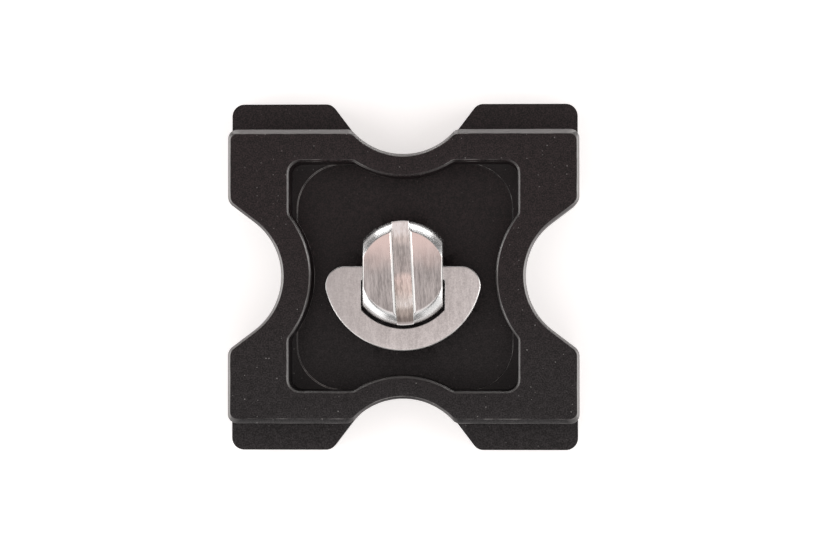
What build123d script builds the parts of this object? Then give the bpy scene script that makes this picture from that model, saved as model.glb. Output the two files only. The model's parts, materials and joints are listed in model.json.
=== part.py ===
from build123d import *
import os
from math import cos, hypot, radians, sin, tan

# Square quick release plate for a tripod head, lying on its camera face with the rail up.
# Millimetres. X runs along the dovetail rail, Z is up, the origin is under the middle of the plate.

# Dovetail rail with flanks at 45 degrees
RAIL_WIDTH = 38.0
RAIL_CORNER = 1.2
LAND_HEIGHT = 1.5             # upright band between the rail face and a flank
FLANK_DEPTH = 2.9             # both ways, because of the 45 degrees
NECK_HEIGHT = 1.1             # upright band between a flank and a ledge
RAIL_FACE_CHAMFER = 0.33      # round the ends and the scallops
LAND_CHAMFER = 0.6            # along the two clamped edges

# Flange that the camera sits on
LEDGE_WIDTH = 3.7             # stands out on each side of the rail
FLANGE_THICKNESS = 3.5
PLATE_CORNER = 1.6
CAMERA_EDGE_CHAMFER = 0.3

# Scallop in each side: an arc with a straight lead at each end
SCALLOP_DEPTH = 6.9
SCALLOP_RADIUS = 8.73
SCALLOP_LEAD_ANGLE = 37.2     # between a lead and the middle line of the scallop
SCALLOP_CORNER = 1.5

# Pocket in the rail face
FLOOR_THICKNESS = 3.1         # camera face to the pocket's floor
NECK_WALL = 1.3               # between the pocket and the neck of the rail
END_BAND = 7.9                # between the pocket and the ends of the rail
POCKET_CORNER = 1.5
POCKET_SHOULDER = 1.0         # rounding where a bulge meets a straight wall
POCKET_CHAMFER = 0.25
END_WALL = 3.9                # between the pocket and the scallops in the rail's ends
SIDE_WALL = 2.95              # between the pocket and the scallops beside the rail
FLOOR_STEP = 0.12             # the milled middle of the floor lies this much deeper
FLOOR_STEP_SLOPE = 45
FLOOR_STEP_MARGIN = 0.7       # to the pocket's walls near the rail's ends
FLOOR_STEP_CORNER = 5.9

# Rubber pad let into the camera face
PAD_THICKNESS = 1.0
PAD_PROUD = 0.3               # the pad stands out of the camera face
PAD_MARGIN = 2.4              # rim of bare metal round the pad
PAD_CORNER = 1.0
PAD_CLEARANCE = 0.1
PAD_HOLE_MARGIN = 1.5         # the pad's hole is this much wider than the screw hole, all round

# Camera screw
STUD_DIAMETER = 6.35          # quarter inch thread
STUD_REACH = 4.5              # length that stands out of the pad when the screw is home
STUD_TIP_CHAMFER = 0.8
HOLE_CLEARANCE = 0.55         # play of the stud in the plate, all round
STUD_WALL_GAP = 0.15          # the loose screw stands this close to the wall of its hole
NECK_RELIEF = 0.7             # the neck is this much thinner than the stud, all round
NECK_MARGIN = 0.5             # the neck is this much longer than the washer is thick
HEAD_DIAMETER = 13.4
FLAT_DEPTH = 1.56             # of each of the two flats
HEAD_HEIGHT = 3.5
HEAD_RIM = 1.3                # 45 degree chamfer round the top
HEAD_EDGE_CHAMFER = 0.2       # on the flats and under the head
SLOT_WIDTH = 2.2
SLOT_DEPTH = 1.2
SLOT_CHAMFER = 0.35
SLOT_TURN = 3.0               # the slot is cut a little out of line with the flats

# Nylon washer under the head
WASHER_THICKNESS = 0.6
WASHER_SEAT = 1.1             # reaches this far past the edge of the screw hole
WASHER_CLEARANCE = 0.08       # round the neck
WASHER_GAP = 0.05             # under the head

# Stamped ring that folds on the flats of the head
RING_THICKNESS = 1.3
RING_BAND = 2.85              # width of the band opposite the pivot
RING_ARC_SHIFT = 0.2          # the outer arc's middle lies this far past the pivot
RING_CORNER = 2.5
RING_OUTER_CHAMFER = 0.2
RING_INNER_CHAMFER = 0.12
RING_SIDE_CLEARANCE = 0.23    # to each flat
RING_HEAD_CLEARANCE = 0.45    # to the round of the head
LUG_WIDTH = 1.72
LUG_LENGTH = 1.1              # into the head
LUG_CLEARANCE = 0.06
PIVOT_HEIGHT = 1.6            # above the underside of the head

# Heights above the pad's face
CAMERA_FACE_Z = PAD_PROUD
LEDGE_Z = CAMERA_FACE_Z + FLANGE_THICKNESS
FLANK_Z = LEDGE_Z + NECK_HEIGHT
LAND_Z = FLANK_Z + FLANK_DEPTH
RAIL_FACE_Z = LAND_Z + LAND_HEIGHT
POCKET_FLOOR_Z = CAMERA_FACE_Z + FLOOR_THICKNESS
MILLED_FLOOR_Z = POCKET_FLOOR_Z - FLOOR_STEP
WASHER_Z = MILLED_FLOOR_Z + STUD_REACH
HEAD_Z = WASHER_Z + WASHER_THICKNESS + WASHER_GAP
HEAD_TOP_Z = HEAD_Z + HEAD_HEIGHT
PIVOT_Z = HEAD_Z + PIVOT_HEIGHT

# Plan sizes worked out from the driving sizes
PLATE_SIZE = RAIL_WIDTH + 2 * LEDGE_WIDTH
HALF_PLATE = PLATE_SIZE / 2
HALF_RAIL = RAIL_WIDTH / 2
HALF_NECK = HALF_RAIL - FLANK_DEPTH
SCALLOP_CENTRE = HALF_PLATE - SCALLOP_DEPTH + SCALLOP_RADIUS
POCKET_LENGTH = PLATE_SIZE - 2 * END_BAND
POCKET_WIDTH = 2 * (HALF_NECK - NECK_WALL)
STUD_RADIUS = STUD_DIAMETER / 2
NECK_RADIUS = STUD_RADIUS - NECK_RELIEF
SCREW_HOLE_RADIUS = STUD_RADIUS + HOLE_CLEARANCE
SCREW_Y = HOLE_CLEARANCE - STUD_WALL_GAP
HEAD_RADIUS = HEAD_DIAMETER / 2
HALF_FLATS = HEAD_RADIUS - FLAT_DEPTH
RING_CUT_RADIUS = HEAD_RADIUS + RING_HEAD_CLEARANCE
RING_RADIUS = RING_CUT_RADIUS + RING_BAND + RING_ARC_SHIFT
LUG_HOLE_RADIUS = hypot(LUG_WIDTH, RING_THICKNESS) / 2 + LUG_CLEARANCE

SIDE_ANGLES = (0, 90, 180, 270)
HALF_TURNS = (0, 180)
OVERCUT = 2.0                 # cutting shapes run this far past what they cut
TOLERANCE = 1e-4              # for finding vertices by their place


def scallop():
    """One scallop on the +Y side: an arc between two tangent leads that run past the plate's side."""
    tangent_angle = radians(90 - SCALLOP_LEAD_ANGLE)
    arc_x = SCALLOP_RADIUS * sin(tangent_angle)
    arc_y = SCALLOP_CENTRE - SCALLOP_RADIUS * cos(tangent_angle)
    mouth_y = HALF_PLATE + OVERCUT
    mouth_x = arc_x + (mouth_y - arc_y) * tan(radians(SCALLOP_LEAD_ANGLE))
    bottom = ThreePointArc((-arc_x, arc_y), (0, SCALLOP_CENTRE - SCALLOP_RADIUS), (arc_x, arc_y))
    leads = Polyline((arc_x, arc_y), (mouth_x, mouth_y), (-mouth_x, mouth_y), (-arc_x, arc_y))
    return make_face([bottom, leads])


def vertices_on(sketch, half_x=None, half_y=None):
    """The vertices on the ends, on the sides or, with both given, at the corners of a rectangle."""
    found = sketch.vertices()
    if half_x is not None:
        found = [v for v in found if abs(abs(v.X) - half_x) < TOLERANCE]
    if half_y is not None:
        found = [v for v in found if abs(abs(v.Y) - half_y) < TOLERANCE]
    return found


def round_corners(outline, half, mouths, corners):
    """Rounds where the scallops open into the sides of a square outline, and then its four corners."""
    at_ends = [v for v in vertices_on(outline, half) if abs(v.Y) < half - TOLERANCE]
    at_sides = [v for v in vertices_on(outline, None, half) if abs(v.X) < half - TOLERANCE]
    outline = fillet(at_ends + at_sides, mouths)
    return fillet(vertices_on(outline, half, half), corners)


def scalloped_rectangle(width):
    """A rectangle as long as the plate and this wide, with a scallop in each side of the plate."""
    outline = Rectangle(PLATE_SIZE, width)
    for angle in SIDE_ANGLES:
        outline -= Rot(0, 0, angle) * scallop()
    return outline


def flange_outline():
    """The outline of the square flange."""
    outline = scalloped_rectangle(PLATE_SIZE)
    return round_corners(outline, HALF_PLATE, SCALLOP_CORNER, PLATE_CORNER)


def rail_outline():
    """The outline of the rail's land, which the side scallops cut too; its ends lie on the flange's outline."""
    shrunk = offset(scalloped_rectangle(RAIL_WIDTH), -RAIL_CORNER, kind=Kind.INTERSECTION)
    return offset(shrunk, RAIL_CORNER) & flange_outline()


def pad_outline():
    """The flange's outline less a rim of bare metal."""
    outline = offset(scalloped_rectangle(PLATE_SIZE), -PAD_MARGIN, kind=Kind.INTERSECTION)
    return round_corners(outline, HALF_PLATE - PAD_MARGIN, PAD_CORNER, PAD_CORNER)


def pocket_outline():
    """A rounded rectangle, less four bulges that run concentric with the scallops."""
    outline = RectangleRounded(POCKET_LENGTH, POCKET_WIDTH, POCKET_CORNER)
    for angle, wall in zip(SIDE_ANGLES, (SIDE_WALL, END_WALL, SIDE_WALL, END_WALL)):
        outline -= Rot(0, 0, angle) * Pos(0, SCALLOP_CENTRE) * Circle(SCALLOP_RADIUS + wall)
    half_x = POCKET_LENGTH / 2
    half_y = POCKET_WIDTH / 2
    at_ends = [v for v in vertices_on(outline, half_x) if abs(v.Y) < half_y - POCKET_CORNER - TOLERANCE]
    at_sides = [v for v in vertices_on(outline, None, half_y) if abs(v.X) < half_x - POCKET_CORNER - TOLERANCE]
    return fillet(at_ends + at_sides, POCKET_SHOULDER)


def dovetail_section():
    """The rail's section across Y: neck, 45 degree flank, land and chamfered edge."""
    half = [
        (HALF_NECK, LEDGE_Z),
        (HALF_NECK, FLANK_Z),
        (HALF_RAIL, LAND_Z),
        (HALF_RAIL, RAIL_FACE_Z - LAND_CHAMFER),
        (HALF_RAIL - LAND_CHAMFER, RAIL_FACE_Z),
    ]
    other_half = [(-y, z) for y, z in reversed(half)]
    return Plane.YZ * make_face(Polyline(*half, *other_half, close=True))


def plate_body():
    """The milled plate: flange, dovetail rail, pocket, screw hole and the recess for the pad."""
    flange = Pos(0, 0, CAMERA_FACE_Z) * extrude(flange_outline(), FLANGE_THICKNESS)
    camera_face = flange.faces().sort_by(Axis.Z)[0]
    flange = chamfer(camera_face.outer_wire().edges(), CAMERA_EDGE_CHAMFER)

    rail = Pos(0, 0, LEDGE_Z) * extrude(rail_outline(), RAIL_FACE_Z - LEDGE_Z)
    rail_face = rail.faces().sort_by(Axis.Z)[-1]
    rail = chamfer(rail_face.outer_wire().edges(), RAIL_FACE_CHAMFER)
    rail &= extrude(dovetail_section(), HALF_PLATE + OVERCUT, both=True)
    body = flange + rail

    pocket = pocket_outline()
    body -= Pos(0, 0, POCKET_FLOOR_Z) * extrude(pocket, RAIL_FACE_Z - POCKET_FLOOR_Z + OVERCUT)
    rail_face = body.faces().sort_by(Axis.Z)[-1]
    body = chamfer(rail_face.inner_wires().edges(), POCKET_CHAMFER)

    step = RectangleRounded(POCKET_LENGTH - 2 * FLOOR_STEP_MARGIN, POCKET_WIDTH, FLOOR_STEP_CORNER)
    step = extrude(step, FLOOR_STEP, taper=-FLOOR_STEP_SLOPE) & extrude(pocket, FLOOR_STEP)
    body -= Pos(0, 0, MILLED_FLOOR_Z) * step

    body -= extrude(Circle(SCREW_HOLE_RADIUS), RAIL_FACE_Z)
    body -= extrude(offset(pad_outline(), PAD_CLEARANCE), PAD_THICKNESS)
    return body


def camera_pad():
    """The rubber sheet that fills the recess in the camera face and stands a little proud of it."""
    return extrude(pad_outline() - Circle(SCREW_HOLE_RADIUS + PAD_HOLE_MARGIN), PAD_THICKNESS)


def screw_washer():
    """The flat washer that is caught on the neck of the screw."""
    outline = Circle(SCREW_HOLE_RADIUS + WASHER_SEAT) - Circle(NECK_RADIUS + WASHER_CLEARANCE)
    return Pos(0, SCREW_Y, WASHER_Z) * extrude(outline, WASHER_THICKNESS)


def turned_screw():
    """The screw as it leaves the lathe: chamfered stud, thinner neck and chamfered head."""
    neck_z = WASHER_Z - NECK_MARGIN
    section = Polyline(
        (0, 0),
        (STUD_RADIUS - STUD_TIP_CHAMFER, 0),
        (STUD_RADIUS, STUD_TIP_CHAMFER),
        (STUD_RADIUS, neck_z - NECK_RELIEF),
        (NECK_RADIUS, neck_z),
        (NECK_RADIUS, HEAD_Z),
        (HEAD_RADIUS - HEAD_EDGE_CHAMFER, HEAD_Z),
        (HEAD_RADIUS, HEAD_Z + HEAD_EDGE_CHAMFER),
        (HEAD_RADIUS, HEAD_TOP_Z - HEAD_RIM),
        (HEAD_RADIUS - HEAD_RIM, HEAD_TOP_Z),
        (0, HEAD_TOP_Z),
        close=True,
    )
    return revolve(Plane.XZ * make_face(section), Axis.Z)


def slot_cutter():
    """The slot across the head, with its edges broken at 45 degrees."""
    half = [
        (SLOT_WIDTH / 2, HEAD_TOP_Z - SLOT_DEPTH),
        (SLOT_WIDTH / 2, HEAD_TOP_Z - SLOT_CHAMFER),
        (SLOT_WIDTH / 2 + SLOT_CHAMFER, HEAD_TOP_Z),
        (SLOT_WIDTH / 2 + SLOT_CHAMFER, HEAD_TOP_Z + OVERCUT),
    ]
    other_half = [(-x, z) for x, z in reversed(half)]
    section = Plane.XZ * make_face(Polyline(*half, *other_half, close=True))
    return Rot(0, 0, SLOT_TURN) * extrude(section, HEAD_RADIUS + OVERCUT, both=True)


def camera_screw():
    """The finished screw: two flats with broken edges, the slot and a hole in each flat for a lug."""
    screw = turned_screw()
    waste = Box(HEAD_RADIUS, HEAD_DIAMETER, HEAD_HEIGHT, align=(Align.MIN, Align.CENTER, Align.MIN))
    for angle in HALF_TURNS:
        screw -= Rot(0, 0, angle) * Pos(HALF_FLATS, 0, HEAD_Z) * waste
    head_top = screw.faces().sort_by(Axis.Z)[-1]
    screw = chamfer(head_top.edges().filter_by(GeomType.LINE), HEAD_EDGE_CHAMFER)
    screw -= slot_cutter()

    depth = LUG_LENGTH + LUG_CLEARANCE
    lug_hole = Rot(0, 90, 0) * Cylinder(LUG_HOLE_RADIUS, 2 * depth)
    for angle in HALF_TURNS:
        screw -= Rot(0, 0, angle) * Pos(HALF_FLATS, 0, PIVOT_Z) * lug_hole
    return Pos(0, SCREW_Y, 0) * screw


def ring_outline():
    """A half-moon with a cut-out that clears the head, and a lug on each side of the cut-out."""
    half_lug = LUG_WIDTH / 2
    beside = Pos(0, half_lug) * Rectangle(3 * RING_RADIUS, 3 * RING_RADIUS, align=(Align.CENTER, Align.MAX))
    outline = (Pos(0, RING_ARC_SHIFT) * Circle(RING_RADIUS)) & beside
    outline = fillet(outline.vertices(), RING_CORNER)
    cut_x = HALF_FLATS + RING_SIDE_CLEARANCE
    outline -= Circle(RING_CUT_RADIUS) & Rectangle(2 * cut_x, 2 * RING_CUT_RADIUS)
    lug = Rectangle(LUG_LENGTH + 2 * RING_SIDE_CLEARANCE, LUG_WIDTH, align=(Align.MIN, Align.CENTER))
    for angle in HALF_TURNS:
        outline += Rot(0, 0, angle) * Pos(HALF_FLATS - LUG_LENGTH, 0) * lug
    return outline


def is_inner(edge):
    """Whether an edge of the ring's flat faces lies on its cut-out or on a lug."""
    middle = edge.position_at(0.5)
    near_head = hypot(middle.X, middle.Y) < RING_CUT_RADIUS + RING_INNER_CHAMFER + TOLERANCE
    return near_head and middle.Y < LUG_WIDTH / 2 - TOLERANCE


def flat_edges(sheet):
    """The edges round the two flat faces of a sheet."""
    faces = sheet.faces().sort_by(Axis.Z)
    return faces[0].edges() + faces[-1].edges()


def d_ring():
    """The stamped half-moon of sheet with its edges broken by tumbling."""
    ring = Pos(0, 0, -RING_THICKNESS / 2) * extrude(ring_outline(), RING_THICKNESS)
    ring = chamfer([e for e in flat_edges(ring) if is_inner(e)], RING_INNER_CHAMFER)
    ring = chamfer([e for e in flat_edges(ring) if not is_inner(e)], RING_OUTER_CHAMFER)
    return Pos(0, SCREW_Y, PIVOT_Z) * ring


PIECES = (plate_body, camera_pad, screw_washer, camera_screw, d_ring)

os.makedirs("parts", exist_ok=True)
for piece in PIECES:
    export_step(piece(), f"parts/{piece.__name__}.step")
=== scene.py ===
import json
import math

import bmesh
import bpy
import numpy as np
from bpy.props import FloatProperty, FloatVectorProperty, PointerProperty
from mathutils import Matrix, Vector


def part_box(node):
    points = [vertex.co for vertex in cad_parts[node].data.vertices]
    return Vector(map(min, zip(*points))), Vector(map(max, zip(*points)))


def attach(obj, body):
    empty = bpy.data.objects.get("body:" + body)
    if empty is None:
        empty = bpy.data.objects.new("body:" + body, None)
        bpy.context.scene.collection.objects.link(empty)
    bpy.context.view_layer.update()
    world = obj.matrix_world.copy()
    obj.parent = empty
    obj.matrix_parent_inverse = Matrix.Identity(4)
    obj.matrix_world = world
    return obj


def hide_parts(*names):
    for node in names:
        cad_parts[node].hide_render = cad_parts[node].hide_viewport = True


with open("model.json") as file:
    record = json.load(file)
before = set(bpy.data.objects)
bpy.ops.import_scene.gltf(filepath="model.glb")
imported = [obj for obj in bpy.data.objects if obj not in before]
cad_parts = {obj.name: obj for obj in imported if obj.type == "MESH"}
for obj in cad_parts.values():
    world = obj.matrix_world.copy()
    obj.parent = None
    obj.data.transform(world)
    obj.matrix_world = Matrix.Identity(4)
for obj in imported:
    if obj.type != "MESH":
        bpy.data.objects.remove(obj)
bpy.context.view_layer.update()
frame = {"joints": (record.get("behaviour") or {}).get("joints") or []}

bl_info = {
    "name": "Tripod Quick Release Plate",
    "version": (1, 0, 0),
    "blender": (4, 5, 0),
    "location": "View3D > Sidebar > Release Plate",
    "description": "Dresses the CAD frame of a dovetail plate for a tripod head as finished metal, rubber and nylon",
    "category": "Object",
}

# Lengths are metres. X runs along the dovetail rail and Z is up, as in the frame.
PLATE_LOW, PLATE_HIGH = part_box("plate_body")
PAD_LOW, PAD_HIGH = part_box("camera_pad")
WASHER_LOW, WASHER_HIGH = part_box("screw_washer")
SCREW_LOW, SCREW_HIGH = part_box("camera_screw")
RING_LOW, RING_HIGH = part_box("d_ring")
SCREW_MIDDLE = ((SCREW_LOW + SCREW_HIGH) / 2).xy
PIVOT = next(joint["pos_m"] for joint in frame["joints"] if joint["name"] == "ring_fold")

QUARTER = math.pi / 2
TINY = 1e-9
MERGE_DISTANCE = 1e-7

# How finely the surfaces are divided. The ring has three parts: one end, the bow and the other end.
ARC_STEPS = 40
OUTLINE_STEPS = 6000
PLATE_COLUMNS = 1440
ROUND_COLUMNS = 144
HEAD_COLUMNS = 90
RING_COLUMNS = (90, 240, 90)
RING_EDGE_ROWS = 6
THREAD_ROWS = 14

# A softened corner gets two more rows for each fine reach in its own, and takes no more than a share of the stretch
# beside it. It is marked in full where it stands off its chord by the sharp share of its reach.
FINE_REACH = 0.0001
STRETCH_SHARE = 0.4
SHARP_SHARE = 0.35

# How wide a ledge or an overhang is, where its edge is fully worn, and how far a bulge stands in from the pocket's end,
# where its bevel's painted highlight is full
WEAR_REACH = 0.0008
BULGE_REACH = 0.0025

# Where the ring's outer edge gets a painted highlight, with painted shade on the rest of it: which way it faces there,
# and the cosines at which the highlight begins and is full
PAINTED_GLINT = (((0.97, -0.26), 0.75, 0.95), ((-0.72, -0.70), 0.90, 0.98))

# Places of the colour sockets on a Mix node
COLOUR_A, COLOUR_B, COLOUR_RESULT = 6, 7, 2

# Colours of the dust, and half the length of the slot in the screw's head
METAL_DUST = (0.40, 0.39, 0.38)
RUBBER_DUST = (0.30, 0.29, 0.27)
SLOT_HALF_LENGTH = 0.0066

# Painted reflections and shade in bands along the slot's floor, from its lower end to its upper end, as a share of the
# plain steel
SLOT_PAINTED_BANDS = (
    (0.04, (0.55, 0.51, 0.48)),
    (0.12, (1.05, 0.99, 0.92)),
    (0.20, (1.85, 1.85, 1.80)),
    (0.35, (1.55, 1.40, 1.32)),
    (0.43, (1.70, 1.50, 1.43)),
    (0.53, (1.12, 1.09, 1.08)),
    (0.72, (1.02, 1.01, 1.00)),
    (0.82, (1.40, 1.34, 1.30)),
    (0.92, (1.95, 1.95, 1.95)),
)

# Each soft light: the setting with its radiance, its width and height, its distance, azimuth and elevation in degrees
SOFT_LIGHTS = {
    "left_box": ("side_light", 0.36, 0.234, 0.35, 180, 20),
    "right_box": ("side_light", 0.36, 0.234, 0.35, 0, 20),
    "back_strip": ("back_light", 0.50, 0.045, 0.35, 90, 3),
    "front_box": ("front_light", 0.46, 0.40, 0.42, -90, 44),
    "front_left_strip": ("left_strip", 0.28, 0.10, 0.35, -136, 9),
    "front_right_strip": ("right_strip", 0.28, 0.10, 0.35, -44, 9),
}
FLOOR_HALF = 3.0
SENSOR_WIDTH = 36.0


class PlateShape(bpy.types.PropertyGroup):
    """Sizes of the milled plate and of its rubber pad"""

    rail_width: FloatProperty(name="Rail width", description="Across the two lands", default=0.0380, unit="LENGTH")
    rail_corner: FloatProperty(name="Rail corner", description="Rounding in plan", default=0.0012, unit="LENGTH")
    land_height: FloatProperty(name="Land height", description="Upright band", default=0.0015, unit="LENGTH")
    land_bevel: FloatProperty(name="Land bevel", description="Along the lands", default=0.0006, unit="LENGTH")
    end_bevel: FloatProperty(name="End bevel", description="Round the ends", default=0.00033, unit="LENGTH")
    flank_depth: FloatProperty(name="Flank depth", description="Dovetail undercut", default=0.0029, unit="LENGTH")
    neck_height: FloatProperty(name="Neck height", description="Under the flank", default=0.0011, unit="LENGTH")
    corner: FloatProperty(name="Plate corner", description="Rounding in plan", default=0.0016, unit="LENGTH")
    camera_bevel: FloatProperty(name="Camera bevel", description="Round the camera face", default=0.0003, unit="LENGTH")
    scallop_depth: FloatProperty(name="Scallop depth", description="Into each side", default=0.0069, unit="LENGTH")
    scallop_radius: FloatProperty(name="Scallop radius", description="Of its hollow", default=0.00873, unit="LENGTH")
    scallop_lead: FloatProperty(
        name="Scallop lead", description="Lead to middle line", default=math.radians(37.2), subtype="ANGLE")
    scallop_corner: FloatProperty(name="Scallop corner", description="At its mouth", default=0.0015, unit="LENGTH")
    floor: FloatProperty(name="Floor", description="Camera face to pocket floor", default=0.0031, unit="LENGTH")
    neck_wall: FloatProperty(name="Neck wall", description="Pocket to neck", default=0.0013, unit="LENGTH")
    end_band: FloatProperty(name="End band", description="Pocket to rail end", default=0.0079, unit="LENGTH")
    end_wall: FloatProperty(name="End wall", description="Pocket to end scallop", default=0.0039, unit="LENGTH")
    side_wall: FloatProperty(name="Side wall", description="Pocket to side scallop", default=0.00295, unit="LENGTH")
    pocket_corner: FloatProperty(name="Pocket corner", description="In plan", default=0.0015, unit="LENGTH")
    pocket_shoulder: FloatProperty(name="Pocket shoulder", description="In plan", default=0.0010, unit="LENGTH")
    pocket_bevel: FloatProperty(name="Pocket bevel", description="Round its mouth", default=0.00025, unit="LENGTH")
    step_height: FloatProperty(name="Floor step", description="Milled deeper", default=0.00012, unit="LENGTH")
    step_margin: FloatProperty(name="Step margin", description="To the end walls", default=0.0007, unit="LENGTH")
    step_corner: FloatProperty(name="Step corner", description="In plan", default=0.0059, unit="LENGTH")
    hole_radius: FloatProperty(name="Screw hole", description="Its radius", default=0.003725, unit="LENGTH")
    pad_gap: FloatProperty(name="Pad gap", description="Round the pad", default=0.0001, unit="LENGTH")
    pad_corner: FloatProperty(name="Pad corner", description="In plan", default=0.0010, unit="LENGTH")
    pad_hole: FloatProperty(name="Pad hole", description="Its radius", default=0.005225, unit="LENGTH")
    edge: FloatProperty(name="Edge", description="Softening of milled edges", default=0.00006, unit="LENGTH")


class ScrewShape(bpy.types.PropertyGroup):
    """Sizes of the camera screw, its washer and its ring"""

    head_height: FloatProperty(name="Head height", description="Of the slotted head", default=0.0035, unit="LENGTH")
    rim: FloatProperty(name="Rim", description="Bevel round the head", default=0.0013, unit="LENGTH")
    rim_crown: FloatProperty(name="Rim crown", description="Bulge of the rim", default=0.00006, unit="LENGTH")
    rim_round: FloatProperty(name="Rim edge", description="Crisp half", default=0.00014, unit="LENGTH")
    rim_rub: FloatProperty(name="Rubbed rim edge", description="Other half", default=0.00035, unit="LENGTH")
    edge_bevel: FloatProperty(name="Edge bevel", description="Under the head", default=0.00012, unit="LENGTH")
    flat_bevel: FloatProperty(name="Flat bevel", description="On the flats", default=0.00020, unit="LENGTH")
    flat_drop: FloatProperty(name="Flat bevel drop", description="Its height", default=0.00013, unit="LENGTH")
    slot_width: FloatProperty(name="Slot width", description="Across its floor", default=0.0022, unit="LENGTH")
    slot_depth: FloatProperty(name="Slot depth", description="Below the head", default=0.0012, unit="LENGTH")
    slot_bevel: FloatProperty(name="Slot bevel", description="On its edges", default=0.00035, unit="LENGTH")
    slot_drop: FloatProperty(name="Slot bevel drop", description="Its height", default=0.00024, unit="LENGTH")
    slot_turn: FloatProperty(
        name="Slot turn", description="From the flats", default=math.radians(3.0), subtype="ANGLE")
    lug_hole: FloatProperty(name="Lug hole", description="Its radius", default=0.001138, unit="LENGTH")
    lug_hole_depth: FloatProperty(name="Lug hole depth", description="Into a flat", default=0.00116, unit="LENGTH")
    stud_radius: FloatProperty(name="Stud radius", description="Over the thread", default=0.003175, unit="LENGTH")
    pitch: FloatProperty(name="Pitch", description="Of the thread", default=0.00127, unit="LENGTH")
    thread_depth: FloatProperty(name="Thread depth", description="Crest to root", default=0.00072, unit="LENGTH")
    tip_bevel: FloatProperty(name="Tip bevel", description="Of the stud", default=0.0008, unit="LENGTH")
    neck_radius: FloatProperty(name="Neck radius", description="Under the head", default=0.002475, unit="LENGTH")
    neck_top_gap: FloatProperty(name="Neck length", description="Up to the head", default=0.00115, unit="LENGTH")
    washer_bore: FloatProperty(name="Washer bore", description="Its radius", default=0.002555, unit="LENGTH")
    ring_radius: FloatProperty(name="Ring radius", description="Outer arc", default=0.0102, unit="LENGTH")
    ring_shift: FloatProperty(name="Ring shift", description="Outer arc past pivot", default=0.0002, unit="LENGTH")
    ring_corner: FloatProperty(name="Ring corner", description="In plan", default=0.0025, unit="LENGTH")
    cut_radius: FloatProperty(name="Cut radius", description="Inner arc", default=0.00715, unit="LENGTH")
    cut_half: FloatProperty(name="Cut half width", description="Inner sides", default=0.00537, unit="LENGTH")
    cut_corner: FloatProperty(name="Cut corner", description="In plan", default=0.0002, unit="LENGTH")
    lug_reach: FloatProperty(name="Lug reach", description="Lug end to middle", default=0.00404, unit="LENGTH")
    ring_round: FloatProperty(name="Ring outer edge", description="Tumbled", default=0.00019, unit="LENGTH")
    cut_round: FloatProperty(name="Ring inner edge", description="Tumbled", default=0.00012, unit="LENGTH")
    edge: FloatProperty(name="Edge", description="Softening of turned edges", default=0.00007, unit="LENGTH")


class Finishes(bpy.types.PropertyGroup):
    """Colours of the finishes"""

    anodise: FloatVectorProperty(
        name="Anodise", description="Black dyed metal", default=(0.0054, 0.0035, 0.0037), subtype="COLOR")
    # Greyer, less red tone that the faces take towards the front
    front_grey: FloatVectorProperty(
        name="Dust film", description="Black with fine dust on it", default=(0.0290, 0.0255, 0.0268), subtype="COLOR")
    # Bevel colour, partly bare metal and partly a painted highlight set by the way each bevel faces
    bevel_rub_and_sheen: FloatVectorProperty(
        name="Burnished bevel", description="Dark metal", default=(0.225, 0.217, 0.214), subtype="COLOR")
    bare: FloatVectorProperty(
        name="Worn edge", description="Where the dye is rubbed off", default=(0.34, 0.33, 0.32), subtype="COLOR")
    steel: FloatVectorProperty(
        name="Turned steel", description="The screw", default=(0.50, 0.485, 0.475), subtype="COLOR")
    # Brighter than the head's steel, partly a painted highlight on the turned rim
    turned_steel_and_sheen: FloatVectorProperty(
        name="Bright steel", description="Turned rim and stud", default=(0.86, 0.85, 0.845), subtype="COLOR")
    # Painted warm reflection on the head's upper end
    painted_warm_reflection: FloatVectorProperty(
        name="Warm steel", description="Blush on the head", default=(0.94, 0.79, 0.745), subtype="COLOR")
    sheet: FloatVectorProperty(
        name="Sheet steel", description="The ring", default=(0.675, 0.654, 0.643), subtype="COLOR")
    rubber: FloatVectorProperty(
        name="Rubber", description="The pad", default=(0.020, 0.020, 0.020), subtype="COLOR")
    nylon: FloatVectorProperty(
        name="Nylon", description="The washer", default=(0.74, 0.72, 0.66), subtype="COLOR")


class Studio(bpy.types.PropertyGroup):
    """Camera, floor and soft light"""

    aim: FloatVectorProperty(
        name="Aim", description="Point at the middle of the picture", default=(0.001265, 0.000085, 0.0093),
        subtype="TRANSLATION")
    offset: FloatVectorProperty(
        name="Camera offset", description="From the aim to the camera", default=(0.00942, -0.0048, 0.2998),
        subtype="TRANSLATION")
    lens: FloatProperty(name="Lens", description="Focal length in millimetres", default=101.45, min=1.0)
    floor_colour: FloatVectorProperty(
        name="Floor", description="Pale paper", default=(0.80, 0.80, 0.80), subtype="COLOR")
    glow: FloatVectorProperty(
        name="Floor glow", description="Seen by the camera", default=(0.545, 0.531, 0.522), subtype="COLOR")
    sky_low: FloatVectorProperty(
        name="Low sky", description="Light near the horizon", default=(0.14, 0.14, 0.14), subtype="COLOR")
    sky_high: FloatVectorProperty(
        name="High sky", description="Light overhead", default=(0.755, 0.676, 0.666), subtype="COLOR")
    side_light: FloatProperty(name="Side light", description="Radiance of both side boxes", default=2.6, min=0.0)
    back_light: FloatProperty(name="Back light", description="Radiance of the back strip", default=5.5, min=0.0)
    front_light: FloatProperty(name="Front light", description="Radiance of the front box", default=0.8, min=0.0)
    left_strip: FloatProperty(name="Left strip", description="Radiance of the low strip", default=1.5, min=0.0)
    right_strip: FloatProperty(name="Right strip", description="Radiance of the low strip", default=0.9, min=0.0)


def unit(vectors):
    """The vectors at length one."""
    return vectors / np.maximum(np.linalg.norm(vectors, axis=-1, keepdims=True), TINY)


def directions(angles):
    """Vectors of length one in plan at these angles."""
    return np.stack([np.cos(angles), np.sin(angles)], 1)


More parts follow.
